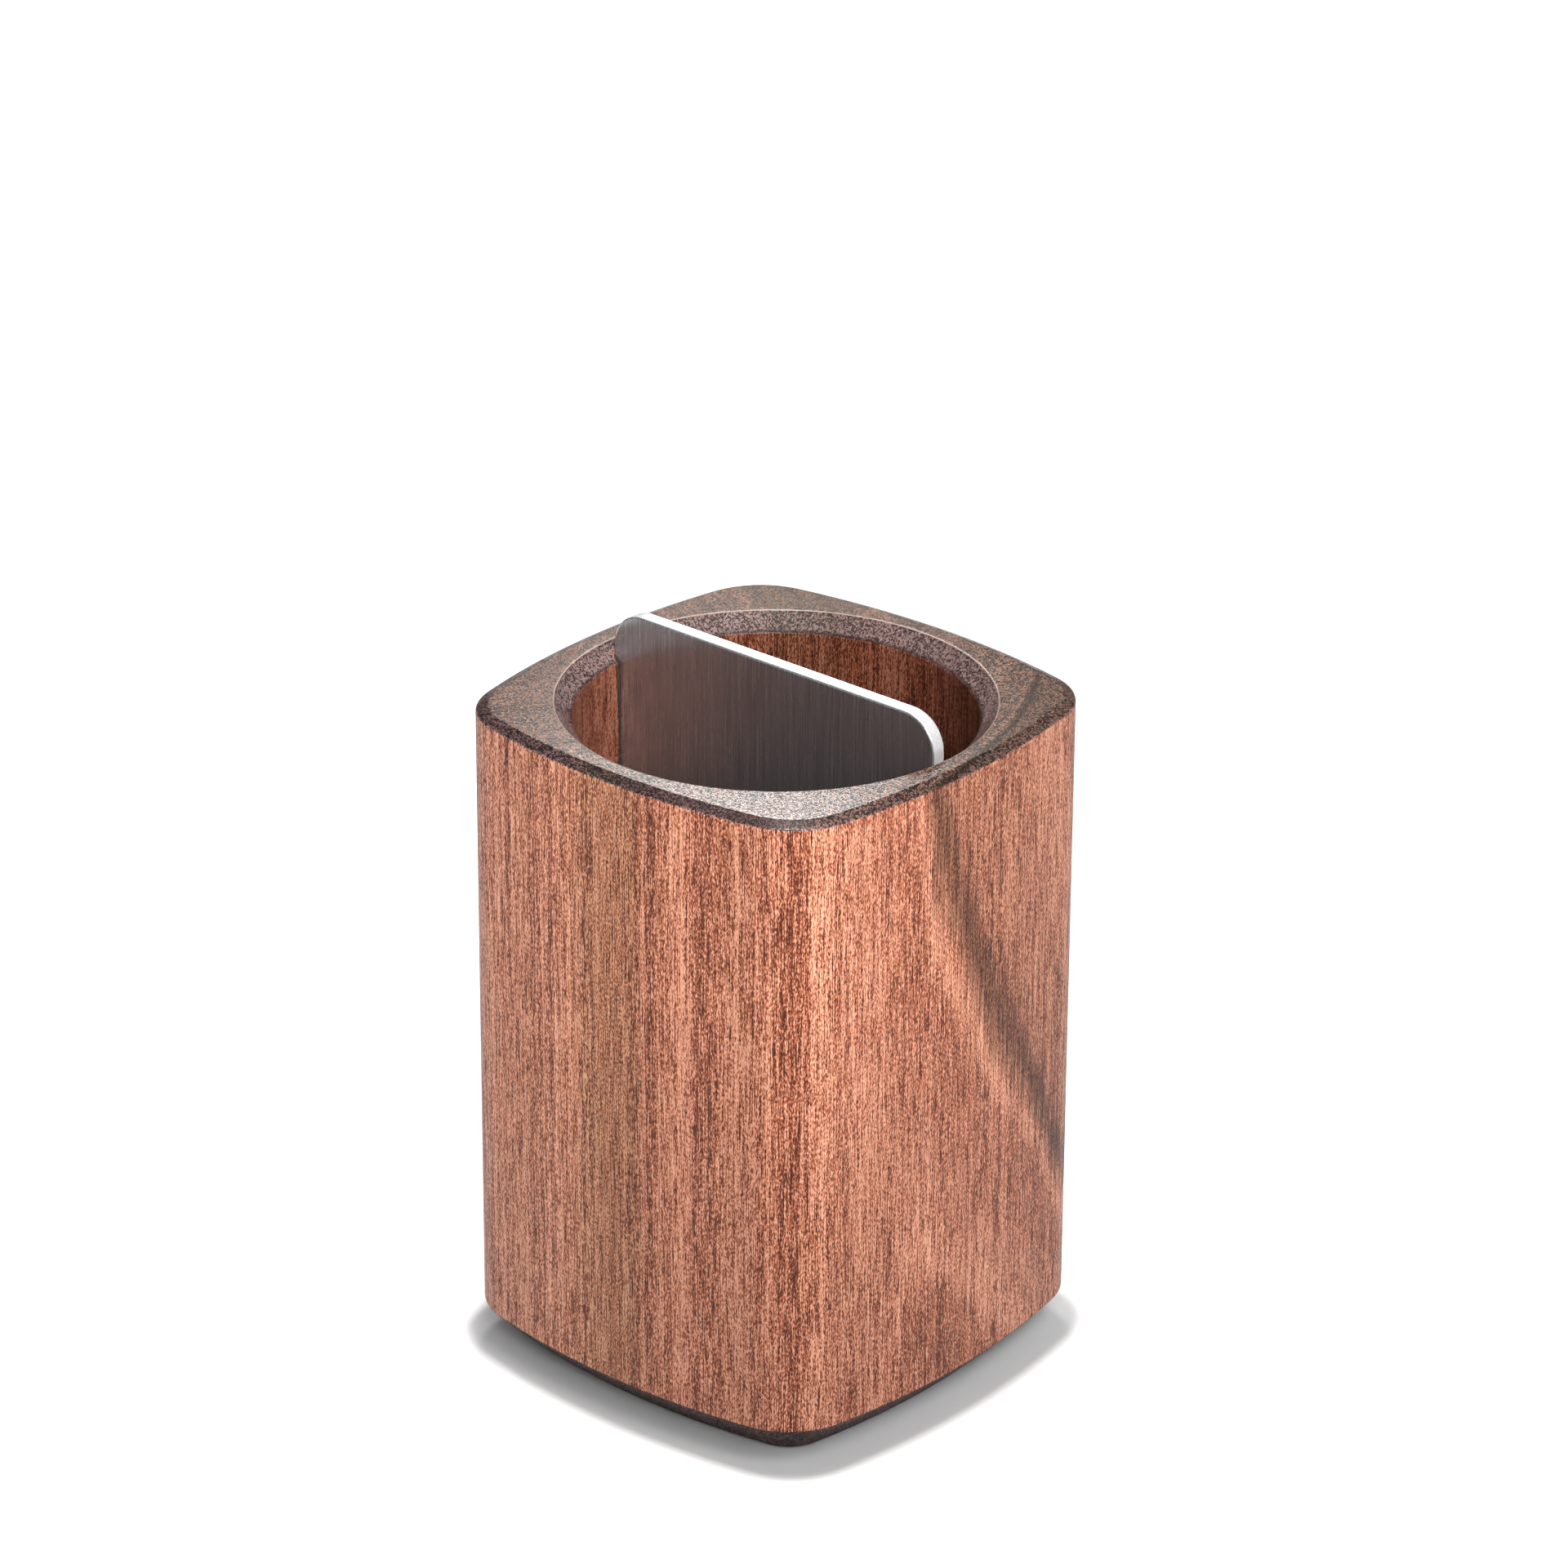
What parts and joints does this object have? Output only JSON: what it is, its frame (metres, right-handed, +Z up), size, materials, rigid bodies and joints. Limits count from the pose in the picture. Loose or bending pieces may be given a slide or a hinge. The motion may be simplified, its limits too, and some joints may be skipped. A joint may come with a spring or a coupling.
{
  "type": "pen cup",
  "caption": "Free-standing walnut desk pen cup with gently bowed sides, a round bore, an undercut foot and a lift-out brushed steel divider plate.",
  "frame": {"origin": "on the desk, under the middle of the cup", "axes": "+Z up out of the bore; X along the divider plate; Y across it, from one compartment to the other"},
  "size_m": [0.072, 0.072, 0.1074],
  "materials": {
    "walnut": "satin",
    "stainless_steel": "satin",
    "cork": "matte"
  },
  "bodies": {
    "cup": {"cup_body": "walnut", "base_pad": "cork"},
    "divider": {"divider_plate": "stainless_steel"}
  },
  "joints": [
    {"name": "divider_lift", "type": "slide", "parent": "cup", "child": "divider", "axis": [0, 0, 1], "range_m": [0, 0.098]}
  ]
}
